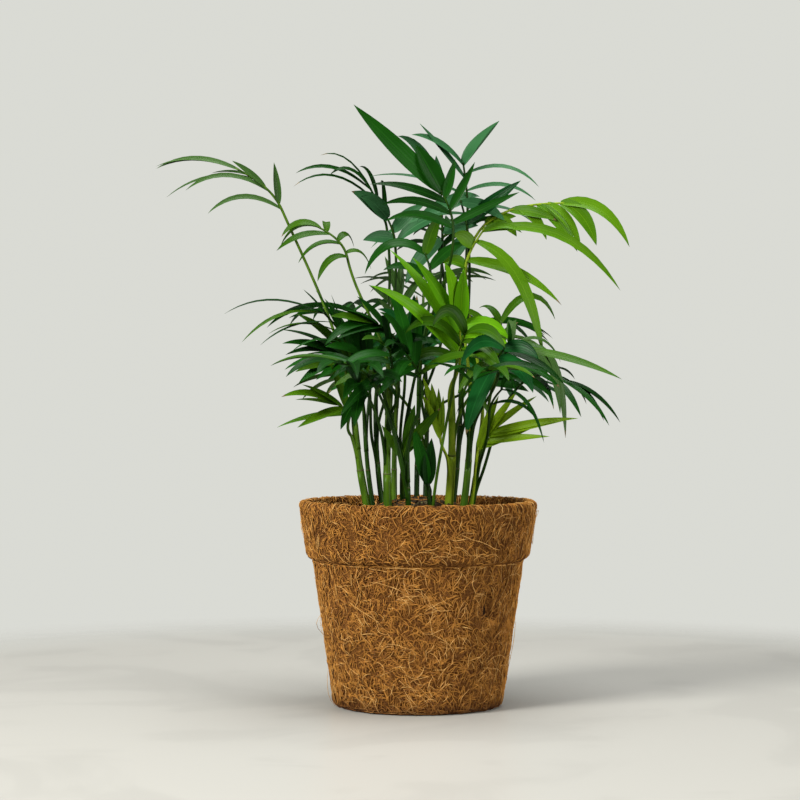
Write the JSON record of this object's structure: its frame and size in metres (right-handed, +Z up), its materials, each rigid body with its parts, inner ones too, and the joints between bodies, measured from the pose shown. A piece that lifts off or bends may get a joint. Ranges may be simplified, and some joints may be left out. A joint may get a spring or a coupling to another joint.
{
  "type": "potted bamboo palm",
  "caption": "Young clumping palm of thin green canes and arching pinnate fronds in a tapered, banded pot of pressed coconut fibre.",
  "frame": {"origin": "centre of the pot's flat underside, on the surface that the pot stands on", "axes": "+Z up along the pot's axis, +X to the right of the side that shows best, +Y away from it"},
  "size_m": [0.3001, 0.257, 0.3789],
  "materials": {
    "coir": "rough",
    "compost": "rough",
    "cane": "satin",
    "leaf_deep": "satin",
    "leaf_blue": "satin",
    "leaf_mid": "satin",
    "leaf_fresh": "satin",
    "leaf_bright": "satin",
    "leaf_lime": "satin"
  },
  "bodies": {
    "root": {"pot": "coir", "compost": "compost", "cane_01": "cane", "cane_02": "cane", "cane_03": "cane", "cane_04": "cane", "cane_05": "cane", "cane_06": "cane", "cane_07": "cane", "cane_08": "cane", "cane_09": "cane", "cane_10": "cane", "cane_11": "cane", "cane_12": "cane", "cane_13": "cane", "cane_14": "cane", "top_left": "leaf_deep", "far_left": "leaf_mid", "left_dark": "leaf_deep", "upper_left": "leaf_deep", "broad_left": "leaf_blue", "top_right": "leaf_blue", "top_ovals": "leaf_blue", "bright_high": "leaf_bright", "bright_low": "leaf_bright", "centre_bright": "leaf_bright", "left_small": "leaf_fresh", "mid_arch": "leaf_deep", "middle_high": "leaf_blue", "left_middle": "leaf_deep", "centre_arch": "leaf_fresh", "young": "leaf_lime", "back_small": "leaf_mid", "left_hub": "leaf_deep", "left_over": "leaf_deep", "low_left": "leaf_fresh", "low_front_left": "leaf_deep", "front": "leaf_deep", "front_upright": "leaf_fresh", "seedling": "leaf_deep", "right_hub": "leaf_deep", "right_arcs": "leaf_fresh", "right_droop": "leaf_mid", "right_arch": "leaf_deep", "low_fan": "leaf_lime", "right_broad": "leaf_blue", "centre_left": "leaf_deep", "right_thin": "leaf_deep", "back_left": "leaf_deep", "back_middle": "leaf_mid", "back_right": "leaf_deep", "back_low_left": "leaf_fresh", "back_low_right": "leaf_blue", "back_high": "leaf_deep", "front_left": "leaf_deep", "front_right": "leaf_deep", "inner_left": "leaf_deep", "inner_middle": "leaf_blue", "inner_right": "leaf_deep"}
  },
  "joints": []
}
